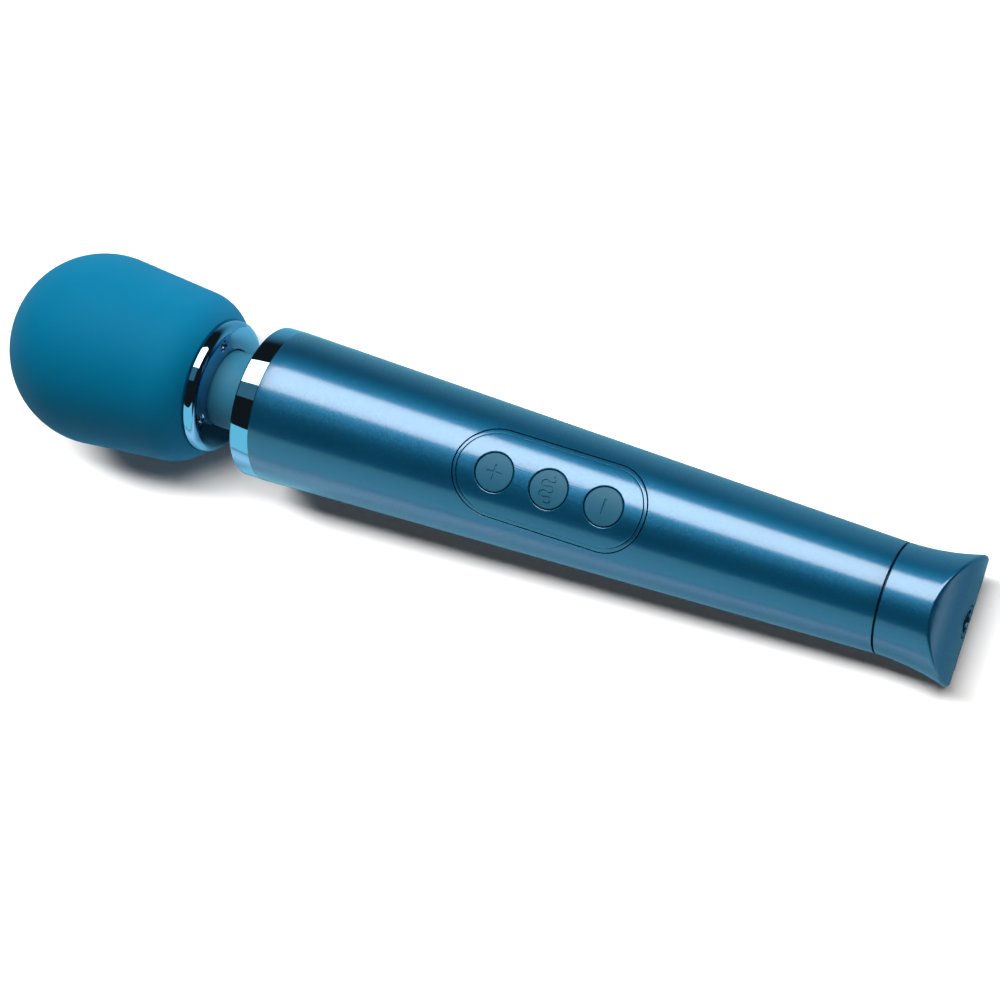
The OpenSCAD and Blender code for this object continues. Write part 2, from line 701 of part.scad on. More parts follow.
// Welded strips, folded from the ends of the cell over its top
module battery_tabs() color(steel) lay() for (s = [[cell_front - tab_t, cell_front - tab_t],
    [cell_back, cell_back + tab_t - tab_fold]]) {
  translate([s[0], -tab_half, cell_z]) cube([tab_t, 2 * tab_half, cell_r + seat + tab_t]);
  translate([s[1], -tab_half, cell_z + cell_r + seat]) cube([tab_fold, 2 * tab_half, tab_t]);
}

// A place on the board, from its place in the panel's frame
board_ahead = button_pitch + board_margin;
board_behind = button_pitch + board_tail;
function on_board(x, y, z) =
  [panel_at + x * cos(taper) + z * sin(taper), y, panel_top - x * sin(taper) + z * cos(taper)];
// End of a lead that comes over the cell and lies on the front of the board
land_z = board_top + seat + lead_r;
cell_top = cell_z + cell_r;
pass_z = max(cell_top + 2 * tab_t + lead_r, on_board(-board_ahead, 0, land_z).z);
function landing(y) = [[cell_back + tab_t, y, pass_z], on_board(lead_land - 1 - board_ahead, y, land_z),
  on_board(lead_land - board_ahead, y, land_z)];

module battery_leads() color(dark) lay() {
  over_z = cell_top + seat + lead_r;
  on_tab_z = over_z + tab_t + seat;
  start = cell_front - tab_t + tab_fold + seat;
  lead(concat([[start, 0, over_z], [start + lead_bend, 0, over_z],
    [start + 2 * lead_bend, cell_lead_y, over_z], [cell_back - lead_bend, cell_lead_y, over_z]],
    landing(cell_lead_y)));
  lead(concat([[cell_back - tab_fold / 2, -tab_lead_y, on_tab_z],
    [cell_back - tab_fold / 4, -tab_lead_y - tab_half / 2, on_tab_z]], landing(-cell_lead_y)));
}

module drive_leads() color(dark) lay()
  lead_pair(concat([[clamp_back + seat, lead_y, 0], [clamp_back + 1, lead_y, 0],
    [chassis_front + 1, cell_lead_y, cell_top], [cell_front + lead_bend, drive_lead_y, cell_top],
    [cell_back - lead_bend, drive_lead_y, cell_top]], landing(drive_lead_y)));

module tail_cap() color(flake_blue) lay() {
  s0 = shell_back + seam;
  flare = [for (i = [0:24]) let (s = s0 + (crest + 1 - s0) * i / 24) [s, tail_r(s)]];
  groove = seal_r + slip;
  groove_r = seal_circle - seal_r - seat;
  intersection() {
    turned(concat([[spigot_front, hollow_r], [spigot_front, spigot_r], [seal_at - groove, spigot_r]],
      [[seal_at - groove, groove_r], [seal_at + groove, groove_r], [seal_at + groove, spigot_r]],
      [[s0, spigot_r]], flare,
      [[crest + 1, socket_hole_r], [hollow_end, socket_hole_r], [hollow_end, hollow_r]]));
    translate([end_at, 0, 0]) rotate([90, 0, 0]) cylinder(r = end_r, h = 4 * handle_r, center = true);
  }
}

module tail_seal() color(dark) lay() translate([seal_at, 0, 0]) rotate([0, 90, 0])
  rotate_extrude() translate([seal_circle, 0]) circle(r = seal_r);

module charge_jack() color(dark) lay()
  turned([[jack_back, 0], [jack_back, jack_flange_r], [hollow_end, jack_flange_r],
    [hollow_end, jack_r], [bush_front, jack_r], [bush_front, socket_r],
    [socket_floor, socket_r], [socket_floor, pin_shank_r + seat], [pin_root, pin_shank_r + seat],
    [pin_root, 0]]);

module jack_bush() color(steel) lay() intersection() {
  turned([[bush_front, socket_r], [bush_front, jack_r], [crest + 1, jack_r], [crest + 1, socket_r]]);
  translate([end_at, 0, 0]) rotate([90, 0, 0]) cylinder(r = end_r - slip, h = 4 * jack_r, center = true);
}

module jack_pin() color(steel) lay()
  turned([[pin_root, 0], [pin_root, pin_shank_r], [socket_floor, pin_shank_r], [socket_floor, pin_r],
    [pin_tip, pin_r], [pin_tip, 0]]);

module jack_leads() color(dark) lay() {
  board_mid = board_top - board_t / 2;
  lead_pair([on_board(board_behind + seat, cell_lead_y, board_mid),
    on_board(board_behind + lead_bend, cell_lead_y, board_mid),
    [spigot_front, jack_lead_y, 0], [jack_back - seat, jack_lead_y, 0]]);
}

head_cover();
head_dome();
head_cup();
head_collar();
collar_screws();
motor_cradle();
motor_can();
motor_end_bell();
motor_magnets();
motor_bushings();
motor_leads();
motor_shaft();
armature();
commutator();
eccentric_weight();
neck_core();
neck_sleeve();
neck_leads();
handle_ring();
neck_clamp();
neck_screws();
handle_shell();
panel_bezel();
control_panel();
button_plus();
button_mode();
button_minus();
plunger_plus();
plunger_mode();
plunger_minus();
switches();
circuit_board();
board_screws();
board_parts();
chassis();
battery_cell();
battery_tabs();
battery_leads();
drive_leads();
tail_cap();
tail_seal();
charge_jack();
jack_bush();
jack_pin();
jack_leads();
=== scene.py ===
import json
import math
import bpy
from mathutils import Matrix, Vector


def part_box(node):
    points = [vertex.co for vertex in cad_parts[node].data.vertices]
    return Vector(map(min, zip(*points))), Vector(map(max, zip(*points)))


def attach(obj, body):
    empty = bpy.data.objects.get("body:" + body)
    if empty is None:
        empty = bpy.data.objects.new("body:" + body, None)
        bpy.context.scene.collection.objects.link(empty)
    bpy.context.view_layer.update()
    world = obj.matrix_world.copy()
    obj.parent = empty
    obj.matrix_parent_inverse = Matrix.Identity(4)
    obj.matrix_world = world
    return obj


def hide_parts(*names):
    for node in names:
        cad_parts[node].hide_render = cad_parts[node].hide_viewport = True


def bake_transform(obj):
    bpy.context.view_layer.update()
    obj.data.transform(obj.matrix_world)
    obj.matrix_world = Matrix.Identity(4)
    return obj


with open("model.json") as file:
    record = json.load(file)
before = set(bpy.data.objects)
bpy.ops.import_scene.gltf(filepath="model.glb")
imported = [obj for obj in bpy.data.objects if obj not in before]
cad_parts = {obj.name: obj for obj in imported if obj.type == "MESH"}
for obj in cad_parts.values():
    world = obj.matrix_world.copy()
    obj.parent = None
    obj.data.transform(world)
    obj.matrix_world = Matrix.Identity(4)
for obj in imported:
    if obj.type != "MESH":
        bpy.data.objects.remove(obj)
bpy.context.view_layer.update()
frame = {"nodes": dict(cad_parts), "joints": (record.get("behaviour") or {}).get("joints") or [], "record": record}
mm = 0.001
joints = {joint["name"]: joint for joint in frame["joints"]}
slotOf = {part["node"]: part["material_slot"] for part in frame["record"]["subparts"]}

# sizes below are millimetres along the wand from its nose, and out from its axis
wandAxis = Vector(joints["motor_spin"]["axis"])
neckMid = 65.036
layDown = (Matrix.Translation(Vector(joints["neck_yaw"]["pos_m"]))
           @ Matrix.Rotation(math.atan2(-wandAxis.z, wandAxis.x), 4, "Y")
           @ Matrix.Translation((-neckMid * mm, 0, 0)))
standUp = Matrix.Rotation(math.radians(-90), 4, "Y")  # turns a lathe about X into one about Z
leastOut = 0.001  # stands for the axis itself, where a ring would have no size
mergeGap = 4e-6  # metres
sharpFrom = math.radians(32)

grip = dict(start=75.886, end=232.486, startRadius=18.7, endRadius=13.1, wall=1.8, edge=0.12, edgeSteps=3,
            rows=32, sides=256)
gripSlope = (grip["startRadius"] - grip["endRadius"]) / (grip["end"] - grip["start"])
taper = math.atan(gripSlope)
panelAt = 152.394


def gripRadius(along):
    return grip["startRadius"] - gripSlope * (along - grip["start"])


onPanel = (layDown @ Matrix.Translation((panelAt * mm, 0, gripRadius(panelAt) * mm))
           @ Matrix.Rotation(taper, 4, "Y"))


def wandReach(node):  # nearest and farthest along, and farthest out, of a CAD node
    back = layDown.inverted()
    points = [back @ vertex.co for vertex in frame["nodes"][node].data.vertices]
    places = [point.x / mm for point in points]
    return min(places), max(places), max(math.hypot(point.y, point.z) for point in points) / mm


# modelling helpers
def pickOnly(*pieces):
    bpy.ops.object.select_all(action="DESELECT")
    for piece in pieces:
        piece.select_set(True)
    bpy.context.view_layer.objects.active = pieces[0]


def added(name, operator, scale=(1, 1, 1), **settings):  # a primitive at its size and place
    bpy.ops.object.select_all(action="DESELECT")
    operator(**settings)
    piece = bpy.context.object
    piece.name = name
    piece.scale = scale
    bpy.ops.object.transform_apply(location=True, rotation=True, scale=True)
    return piece


def edited(piece, *steps):  # mesh operators on the whole of a piece, each with its settings
    pickOnly(piece)
    bpy.ops.object.mode_set(mode="EDIT")
    bpy.ops.mesh.select_all(action="SELECT")
    for operator, settings in steps:
        operator(**settings)
    bpy.ops.object.mode_set(mode="OBJECT")


def tidyMesh(piece):
    edited(piece, (bpy.ops.mesh.remove_doubles, dict(threshold=mergeGap)),
           (bpy.ops.mesh.normals_make_consistent, dict(inside=False)))


def inTriangles(piece):  # while its faces are still flat
    edited(piece, (bpy.ops.mesh.quads_convert_to_tris, dict(quad_method="BEAUTY", ngon_method="BEAUTY")))


def evenly(start, end, count):
    return [start + (end - start) * i / count for i in range(count + 1)]


def arc(at, out, radius, start, end, steps):  # angles from the nose direction
    turns = [math.radians(angle) for angle in evenly(start, end, steps)]
    return [(at - radius * math.cos(turn), out + radius * math.sin(turn)) for turn in turns]


def roundOff(corners, steps):  # corners are (along, out, rounding), first and last stay sharp
    line = []
    for i, (along, out, size) in enumerate(corners):
        if not size:
            line.append((along, out))
            continue
        here = Vector((along, out))
        back = (Vector(corners[i - 1][:2]) - here).normalized()
        ahead = (Vector(corners[i + 1][:2]) - here).normalized()
        half = back.angle(ahead) / 2
        middle = here + (back + ahead).normalized() * size / math.sin(half)
        first = here + back * size / math.tan(half) - middle
        final = here + ahead * size / math.tan(half) - middle
        sweep = first.angle(final)
        for share in evenly(0, 1, steps):
            lean = first * math.sin((1 - share) * sweep) + final * math.sin(share * sweep)
            spot = middle + lean / math.sin(sweep)
            line.append((spot.x, spot.y))
    return line


def turned(name, profile, sides):  # profile of (along, out), a ring at a time from a circle
    profile = [(along, max(out, leastOut)) for along, out in profile]
    along, out = profile[0]
    piece = added(name, bpy.ops.mesh.primitive_circle_add, vertices=sides, radius=out * mm,
                  location=(along * mm, 0, 0), rotation=(0, math.pi / 2, 0))
    steps = []
    for (here, hereOut), (there, thereOut) in zip(profile, profile[1:]):
        grow = thereOut / hereOut
        steps.append((bpy.ops.mesh.extrude_region_move,
                      dict(TRANSFORM_OT_translate={"value": ((there - here) * mm, 0, 0)})))
        steps.append((bpy.ops.transform.resize, dict(value=(1, grow, grow), center_override=(0, 0, 0))))
    edited(piece, *steps)
    tidyMesh(piece)
    return piece


def place(piece, matrix):
    pickOnly(piece)
    piece.matrix_world = matrix @ piece.matrix_world
    bpy.ops.object.transform_apply(location=True, rotation=True, scale=True)


def copyOf(piece, name):
    pickOnly(piece)
    bpy.ops.object.duplicate(linked=False)
    twin = bpy.context.object
    twin.name = name
    return twin


def repeated(piece, name, places):  # a copy at each place, all joined
    twins = []
    for matrix in places:
        twins.append(copyOf(piece, name))
        place(twins[-1], matrix)
    bpy.data.objects.remove(piece)
    pickOnly(*twins)
    bpy.ops.object.join()
    return twins[0]


def carve(piece, cutter, operation="DIFFERENCE"):
    pickOnly(piece)
    bpy.ops.object.modifier_add(type="BOOLEAN")
    cut = piece.modifiers[-1]
    cut.object, cut.operation, cut.solver = cutter, operation, "EXACT"
    bpy.ops.object.modifier_apply(modifier=cut.name)
    bpy.data.objects.remove(cutter)
    tidyMesh(piece)


def shiftWhere(piece, test, value):  # moves the vertices that pass a test on their place
    pickOnly(piece)
    for vertex in piece.data.vertices:
        vertex.select = test(vertex.co)
    for item in list(piece.data.edges) + list(piece.data.polygons):
        item.select = False
    bpy.ops.object.mode_set(mode="EDIT")
    bpy.ops.mesh.select_mode(type="VERT")
    bpy.ops.transform.translate(value=value)
    bpy.ops.object.mode_set(mode="OBJECT")


def drawOut(piece, length):  # parts a lathe about Z into two half rounds on straight sides
    slightTurn = math.pi / len(piece.data.vertices)  # so that no vertex stays in the middle
    place(piece, Matrix.Rotation(slightTurn, 4, "Z"))
    shiftWhere(piece, lambda co: co.x > 0, (length * mm, 0, 0))
    shiftWhere(piece, lambda co: co.x < 0, (-length * mm, 0, 0))


def ontoGrip(piece, lowest=-math.inf, sink=0):  # lowers what is flat on the panel onto the grip's cone
    crest = gripRadius(panelAt)
    for vertex in piece.data.vertices:
        if vertex.co.z / mm < lowest:
            continue
        x, y = vertex.co.x / mm, vertex.co.y / mm
        z = 0
        for _ in range(3):  # the cone's radius depends on the depth that it gives
            radius = gripRadius(panelAt + x * math.cos(taper) + z * math.sin(taper))
            z = (math.sqrt(radius ** 2 - y ** 2) - crest + x * math.sin(taper)) / math.cos(taper)
        vertex.co.z += (z - sink) * mm


def ready(piece, slot, node, body=None):
    pickOnly(piece)
    bpy.ops.object.shade_smooth_by_angle(angle=sharpFrom)
    piece.data.materials.clear()
    piece.data.materials.append(looks[slot])
    if body:
        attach(piece, body)
    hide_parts(node)


# shader helpers
def linear(levels):  # sRGB levels of 0 to 255 to linear colour
    shares = [level / 255 for level in levels]
    return [((share + 0.055) / 1.055) ** 2.4 if share > 10 / 255 else share / 12.92 for share in shares] + [1]


def feed(tree, socket, value):  # a link from another node's socket, or else a plain value
    if isinstance(value, bpy.types.NodeSocket):
        tree.links.new(value, socket)
    else:
        socket.default_value = value


def addNode(tree, kind, sockets=None, **attributes):
    node = tree.nodes.new(kind)
    for key, value in attributes.items():
        setattr(node, key, value)
    for key, value in (sockets or {}).items():
        feed(tree, node.inputs[key], value)
    return node


def calculated(tree, kind, operation, *values):  # sockets that share a name are filled in order
    node = addNode(tree, kind, operation=operation)
    for socket, value in zip(node.inputs, values):
        feed(tree, socket, value)
    return node.outputs[0]


def number(tree, operation, *values):
    return calculated(tree, "ShaderNodeMath", operation, *values)


def vector(tree, operation, *values):
    return calculated(tree, "ShaderNodeVectorMath", operation, *values)


def ranged(tree, value, start, end=(0, 1), kind="LINEAR"):
    sockets = {"Value": value, "From Min": start[0], "From Max": start[1], "To Min": end[0], "To Max": end[1]}
    return addNode(tree, "ShaderNodeMapRange", sockets, interpolation_type=kind).outputs[0]


def mixedColour(tree, factor, first, second):  # a Mix node's colours come after its numbers and vectors
    node = addNode(tree, "ShaderNodeMix", {"Factor": factor}, data_type="RGBA")
    feed(tree, node.inputs[6], first)
    feed(tree, node.inputs[7], second)
    return node.outputs[2]


def objectSpot(tree):
    return tree.nodes.new("ShaderNodeTexCoord").outputs["Object"]


def newLook(name):
    look = bpy.data.materials.new(name)
    look.use_nodes = True
    return look, look.node_tree


vectorSocket, numberSocket = "NodeSocketVector", "NodeSocketFloat"


def newGroup(name, inputs, outputs):
    tree = bpy.data.node_groups.new(name, "ShaderNodeTree")
    for side, sockets in (("INPUT", inputs), ("OUTPUT", outputs)):
        for label, kind in sockets.items():
            tree.interface.new_socket(name=label, in_out=side, socket_type=kind)
    return tree, tree.nodes.new("NodeGroupInput").outputs, tree.nodes.new("NodeGroupOutput").inputs


noises = dict(Height=dict(Detail=3.0, Roughness=0.6), Patches=dict(Detail=4.0, Roughness=0.55))
slowShare = 0.025  # the patches' part of the grain's scale


def grainGroup():  # fine height for bumps, slow patches for colour and wear
    tree, given, made = newGroup("surfaceGrain", {"Vector": vectorSocket, "Scale": numberSocket},
                                 {"Height": numberSocket, "Patches": numberSocket})
    scales = dict(Height=given["Scale"], Patches=number(tree, "MULTIPLY", given["Scale"], slowShare))
    for output, scale in scales.items():
        sockets = {"Vector": given["Vector"], "Scale": scale, **noises[output]}
        tree.links.new(addNode(tree, "ShaderNodeTexNoise", sockets).outputs[0], made[output])
    return tree


def flakeGroup():  # each flake leans its own way
    tree, given, made = newGroup("metalFlakes", {"Vector": vectorSocket, "Normal": vectorSocket,
                                                 "Scale": numberSocket, "Lean": numberSocket},
                                 {"Normal": vectorSocket, "Shine": numberSocket})
    cells = addNode(tree, "ShaderNodeTexVoronoi", {"Vector": given["Vector"], "Scale": given["Scale"]})
    tint = cells.outputs["Color"]
    centred = vector(tree, "SUBTRACT", tint, (0.5, 0.5, 0.5))
    leaned = addNode(tree, "ShaderNodeVectorMath", {"Vector": centred, "Scale": given["Lean"]},
                     operation="SCALE")
    total = vector(tree, "ADD", leaned.outputs[0], given["Normal"])
    tree.links.new(vector(tree, "NORMALIZE", total), made["Normal"])
    tree.links.new(addNode(tree, "ShaderNodeSeparateColor", {"Color": tint}).outputs[0], made["Shine"])
    return tree


# materials
grain, flakes = grainGroup(), flakeGroup()
patchSpan = (0.3, 0.7)  # where most of the slow patches lie
reliefStrength = 0.5
finishes = {
    "soft_silicone": dict(
        name="softSilicone", dark=(2, 105, 145), light=(3, 111, 151), roughness=0.6, vary=0.05, scale=5000,
        bump=0.012, constants={"Specular IOR Level": 0.04}),
    "neck_silicone": dict(
        name="neckSilicone", dark=(36, 104, 134), light=(42, 112, 142), roughness=0.6, vary=0.05, scale=5000,
        bump=0.012, constants={"Specular IOR Level": 0.2}),
    "teal_plating": dict(
        name="tealPlating", dark=(128, 167, 195), light=(132, 171, 199), roughness=0.04, vary=0.015,
        scale=900, metallic=1.0),
    "flake_paint": dict(
        name="flakePaint", dark=(1, 85, 123), light=(2, 93, 132), roughness=0.49, vary=0.03, scale=900,
        metallic=0.9, constants={"Coat Roughness": 0.18, "Coat IOR": 1.68}),
    "button_soft_touch": dict(
        name="buttonSoftTouch", dark=(36, 96, 126), light=(41, 102, 132), roughness=0.5, vary=0.05,
        scale=6000, bump=0.01, constants={"Specular IOR Level": 0.2}),
    "black_plastic": dict(
        name="blackPlastic", dark=(24, 25, 27), light=(34, 35, 37), roughness=0.5, vary=0.08, scale=3000,
        bump=0.01),
    "white_nylon": dict(
        name="whiteNylon", dark=(214, 213, 206), light=(228, 227, 220), roughness=0.5, vary=0.06, scale=3000,
        bump=0.01),
    "black_rubber": dict(
        name="blackRubber", dark=(22, 22, 23), light=(32, 32, 33), roughness=0.7, vary=0.08, scale=4000,
        bump=0.015),
    "steel": dict(
        name="steel", dark=(176, 178, 182), light=(198, 200, 203), roughness=0.28, vary=0.08, scale=2500,
        bump=0.004, metallic=1.0),
    "socket_metal": dict(
        name="socketMetal", dark=(88, 118, 142), light=(100, 130, 152), roughness=0.3, vary=0.06, scale=2500,
        bump=0.004, metallic=1.0),
    "magnet": dict(
        name="magnet", dark=(52, 53, 56), light=(66, 67, 70), roughness=0.6, vary=0.1, scale=4000, bump=0.02,
        metallic=0.4),
    "copper": dict(
        name="copper", dark=(176, 104, 66), light=(202, 128, 84), roughness=0.32, vary=0.08, scale=2500,
        bump=0.006, metallic=1.0),
    "board": dict(
        name="boardMask", dark=(14, 84, 50), light=(22, 98, 60), roughness=0.35, vary=0.06, scale=2500,
        bump=0.006),
    "cell_wrap": dict(
        name="cellWrap", dark=(20, 96, 146), light=(30, 108, 158), roughness=0.4, vary=0.06, scale=1500,
        bump=0.004),
    "lead_jacket": dict(
        name="leadJacket", dark=(120, 20, 18), light=(140, 28, 24), roughness=0.5, vary=0.06, scale=3000,
        bump=0.006),
}
paintFlakes = dict(scale=4000.0, lean=0.1, clearOver=(0.82, 1.0))


def surface(name, dark, light, roughness, vary, scale, bump=0, metallic=0.0, constants=None):
    look, tree = newLook(name)
    sockets = tree.nodes["Principled BSDF"].inputs
    detail = addNode(tree, "ShaderNodeGroup", {"Vector": objectSpot(tree), "Scale": scale},
                     node_tree=grain).outputs
    feed(tree, sockets["Base Color"], mixedColour(tree, detail["Patches"], linear(dark), linear(light)))
    wear = ranged(tree, detail["Patches"], patchSpan, (roughness - vary, roughness + vary))
    feed(tree, sockets["Roughness"], wear)
    if bump:
        relief = addNode(tree, "ShaderNodeBump", {"Height": detail["Height"], "Strength": reliefStrength,
                                                  "Distance": bump * mm})
        feed(tree, sockets["Normal"], relief.outputs[0])
    for socket, value in {"Metallic": metallic, **(constants or {})}.items():
        sockets[socket].default_value = value
    return look


def addFlakes(look, scale, lean, clearOver):
    tree = look.node_tree
    sockets = tree.nodes["Principled BSDF"].inputs
    normal = tree.nodes.new("ShaderNodeNewGeometry").outputs["Normal"]
    flake = addNode(tree, "ShaderNodeGroup", {"Vector": objectSpot(tree), "Normal": normal, "Scale": scale,
                                              "Lean": lean}, node_tree=flakes).outputs
    feed(tree, sockets["Normal"], flake["Normal"])
    clear = ranged(tree, flake["Shine"], (0, 1), clearOver)  # some flakes break the gloss
    feed(tree, sockets["Coat Weight"], clear)


looks = {slot: surface(**finish) for slot, finish in finishes.items()}
addFlakes(looks["flake_paint"], **paintFlakes)
for node, piece in frame["nodes"].items():
    piece.data.materials.clear()
    piece.data.materials.append(looks[slotOf[node]])
print("materials", len(looks))

# head
headCover = dict(noseRadius=25.2, noseTurn=24.5, noseRows=10, shoulderAt=23.3345, shoulderOut=0.85,
                 shoulderRadius=23.15, sideTurn=95.7, shoulderRows=30, cornerAt=46.9, cornerOut=10.758,
                 cornerRadius=10.95, cornerTurn=146, cornerRows=22, lip=0.4, lipRows=4, wall=2.5, mouth=15.11,
                 mouthEdge=0.2, sides=192)


def makeHeadCover(noseRadius, noseTurn, noseRows, shoulderAt, shoulderOut, shoulderRadius, sideTurn,
                  shoulderRows, cornerAt, cornerOut, cornerRadius, cornerTurn, cornerRows, lip, lipRows, wall,
                  mouth, mouthEdge, sides):
    def bulb(inset):
        nose = arc(noseRadius, 0, noseRadius - inset, 0, noseTurn, noseRows)
        shoulder = arc(shoulderAt, shoulderOut, shoulderRadius - inset, noseTurn, sideTurn, shoulderRows)
        corner = arc(cornerAt, cornerOut, cornerRadius - inset, sideTurn, cornerTurn, cornerRows)
        return nose + shoulder[1:] + corner

    turnEnd, lipReach = math.radians(cornerTurn), cornerRadius - lip
    lipAt, lipOut = cornerAt - lipReach * math.cos(turnEnd), cornerOut + lipReach * math.sin(turnEnd)
    lipArc = arc(lipAt, lipOut, lip, cornerTurn, 180, lipRows)[1:]
    mouthCut = [(lipAt + lip, mouth + mouthEdge), (lipAt + lip - mouthEdge, mouth)]
    piece = turned("headCover", bulb(0) + lipArc + mouthCut + bulb(wall)[::-1], sides)
    place(piece, layDown)
    ready(piece, "soft_silicone", "head_cover", "head")


makeHeadCover(**headCover)

collar = dict(front=56.286, back=59.386, radius=16.648, spigotFront=54.1, spigot=15.01, hole=9.95,
              frontEdge=0.5, backEdge=2.0, holeEdge=0.25, edgeSteps=8, sides=192)
collarScrew = dict(head=1.2, height=0.8, shank=0.8, tip=50.5, hexagon=0.6, hexDeep=0.5, edge=0.12,
                   edgeSteps=4, sides=40)
screwSink = dict(deep=1.3, seatGap=0.1, flare=0.22, over=0.1, sides=40)
screwCircle = dict(radius=13.31, angles=(45, 135, 225, 315))
screwPlaces = [Matrix.Rotation(math.radians(angle), 4, "X")
               @ Matrix.Translation((0, screwCircle["radius"] * mm, 0)) for angle in screwCircle["angles"]]
seatAt = collar["back"] - screwSink["deep"]


def makeScrewSinks(deep, seatGap, flare, over, sides):
    back, bore = collar["back"], collarScrew["head"] + seatGap
    sink = turned("screwSink", [(back - deep, 0), (back - deep, bore), (back - flare, bore),
                                (back + over, bore + flare + over), (back + over, 0)], sides)
    return repeated(sink, "screwSinks", screwPlaces)


def makeCollar(front, back, radius, spigotFront, spigot, hole, frontEdge, backEdge, holeEdge, edgeSteps,
               sides):
    piece = turned("headCollar", roundOff([
        (spigotFront, hole, 0), (spigotFront, spigot, 0), (front, spigot, 0), (front, radius, frontEdge),
        (back, radius, backEdge), (back, hole, holeEdge), (spigotFront, hole, 0)], edgeSteps), sides)
    carve(piece, makeScrewSinks(**screwSink))
    place(piece, layDown)
    ready(piece, "teal_plating", "head_collar", "head")


def makeCollarScrews(head, height, shank, tip, hexagon, hexDeep, edge, edgeSteps, sides):
    top = seatAt + height
    screw = turned("collarScrew", roundOff([
        (tip, 0, 0), (tip, shank, 0), (seatAt, shank, 0), (seatAt, head, 0), (top, head, edge), (top, 0, 0)],
        edgeSteps), sides)
    carve(screw, added("screwHex", bpy.ops.mesh.primitive_cylinder_add, vertices=6, radius=hexagon * mm,
                       depth=2 * hexDeep * mm, location=(top * mm, 0, 0), rotation=(0, math.pi / 2, 0)))
    screws = repeated(screw, "collarScrews", screwPlaces)
    place(screws, layDown)
    ready(screws, "steel", "collar_screws", "head")


makeCollar(**collar)
makeCollarScrews(**collarScrew)
print("head")

# neck, in two halves that meet at its middle
neck = dict(front=56.886, back=73.186, radius=9.65, inside=8.05, collarBack=59.386, ringFront=70.686,
            step=0.6, sides=128)
core = dict(radius=6.5, bore=2.6, flangeThick=1.9, sides=64)
leads = dict(radius=0.45, apart=1.2, sides=12)
coreFront, coreBack, coreFlange = wandReach("neck_core")
leadFront, leadBack, _ = wandReach("neck_leads")
leadPlaces = [Matrix.Translation((0, side * leads["apart"] * mm, 0)) for side in (1, -1)]


def stretch(start, end, out):  # rings that lie close enough to bend
    count = max(1, round(abs(end - start) / neck["step"]))
    return [(along, out) for along in evenly(start, end, count)]


def neckHalf(name, end, flangeEnd, leadEnd):
    outside, inside = stretch(end, neckMid, neck["radius"]), stretch(neckMid, end, neck["inside"])
    sleeve = turned(name + "Sleeve", outside + inside + [(end, neck["radius"])], neck["sides"])
    inward = 1 if end < neckMid else -1
    flangeBack = flangeEnd + inward * core["flangeThick"]
    flange = [(flangeEnd, core["bore"]), (flangeEnd, coreFlange), (flangeBack, coreFlange)]
    stem = turned(name + "Core", flange + stretch(flangeBack, neckMid, core["radius"])
                  + stretch(neckMid, flangeEnd, core["bore"]), core["sides"])
    wire = turned(name + "Wire", [(leadEnd, 0)] + stretch(leadEnd, neckMid, leads["radius"]) + [(neckMid, 0)],
                  leads["sides"])
    pair = repeated(wire, name + "Lead", leadPlaces)
    for part, slot, node in ((sleeve, "neck_silicone", "neck_sleeve"), (stem, "black_rubber", "neck_core"),
                             (pair, "lead_jacket", "neck_leads")):
        place(part, layDown)
        ready(part, slot, node)
        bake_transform(part)


neckHalf("neckFront", neck["front"], coreFront, leadFront)
neckHalf("neckRear", neck["back"], coreBack, leadBack)
print("neck")

# handle
ring = dict(front=70.686, back=75.886, radius=18.7, hole=9.95, frontEdge=0.5, backEdge=0.12, plateBack=74.886,
            spigotEnd=81.886, spigotSlip=0.1, bore=15.18, holeEdge=0.25, edgeSteps=6, sides=192)


def makeRing(front, back, radius, hole, frontEdge, backEdge, plateBack, spigotEnd, spigotSlip, bore, holeEdge,
             edgeSteps, sides):
    def spigotOut(along):
        return gripRadius(along) - grip["wall"] - spigotSlip

    piece = turned("handleRing", roundOff([
        (plateBack, hole, 0), (front, hole, holeEdge), (front, radius, frontEdge), (back, radius, backEdge),
        (back, spigotOut(back), 0), (spigotEnd, spigotOut(spigotEnd), 0), (spigotEnd, bore, 0),
        (plateBack, bore, 0), (plateBack, hole, 0)], edgeSteps), sides)
    place(piece, layDown)
    ready(piece, "teal_plating", "handle_ring", "handle")


makeRing(**ring)

panel = dict(pitch=13.75, radius=9.31, thick=4.5, edge=0.12, edgeSteps=4, centre=0.3, topRings=18,
             closeUp=0.09, sides=144)
opening = dict(radius=10.45, edge=0.05, deep=9, high=6, flare=1, sides=128)
buttonPlaces = (-panel["pitch"], 0, panel["pitch"])


def makeOpening(radius, edge, deep, high, flare, sides):
    reach = radius + edge
    cutter = turned("opening", [(-deep, 0), (-deep, radius), (-edge, radius), (0, reach),
                                (flare, reach + flare), (high, reach + flare), (high, 0)], sides)
    place(cutter, standUp)
    drawOut(cutter, panel["pitch"])
    ontoGrip(cutter)
    place(cutter, onPanel)
    return cutter


def makeShell(start, end, startRadius, endRadius, wall, edge, edgeSteps, rows, sides):
    first, *between, final = [(along, gripRadius(along)) for along in evenly(start, end, rows)]
    inside = (start, startRadius - wall, 0)
    piece = turned("handleShell", roundOff([
        inside, (*first, edge), *[(*point, 0) for point in between], (*final, edge),
        (end, endRadius - wall, 0), inside], edgeSteps), sides)
    place(piece, layDown)
    carve(piece, makeOpening(**opening))
    ready(piece, "flake_paint", "handle_shell", "handle")


makeShell(**grip)

sideEdges = dict(tight=0.85, bias=4, slack=1.01)
bezel = dict(outside=10.23, inside=9.43, deep=5.9, ledge=1.2, edge=0.12, edgeSteps=4, seatGap=0.05, sides=144)


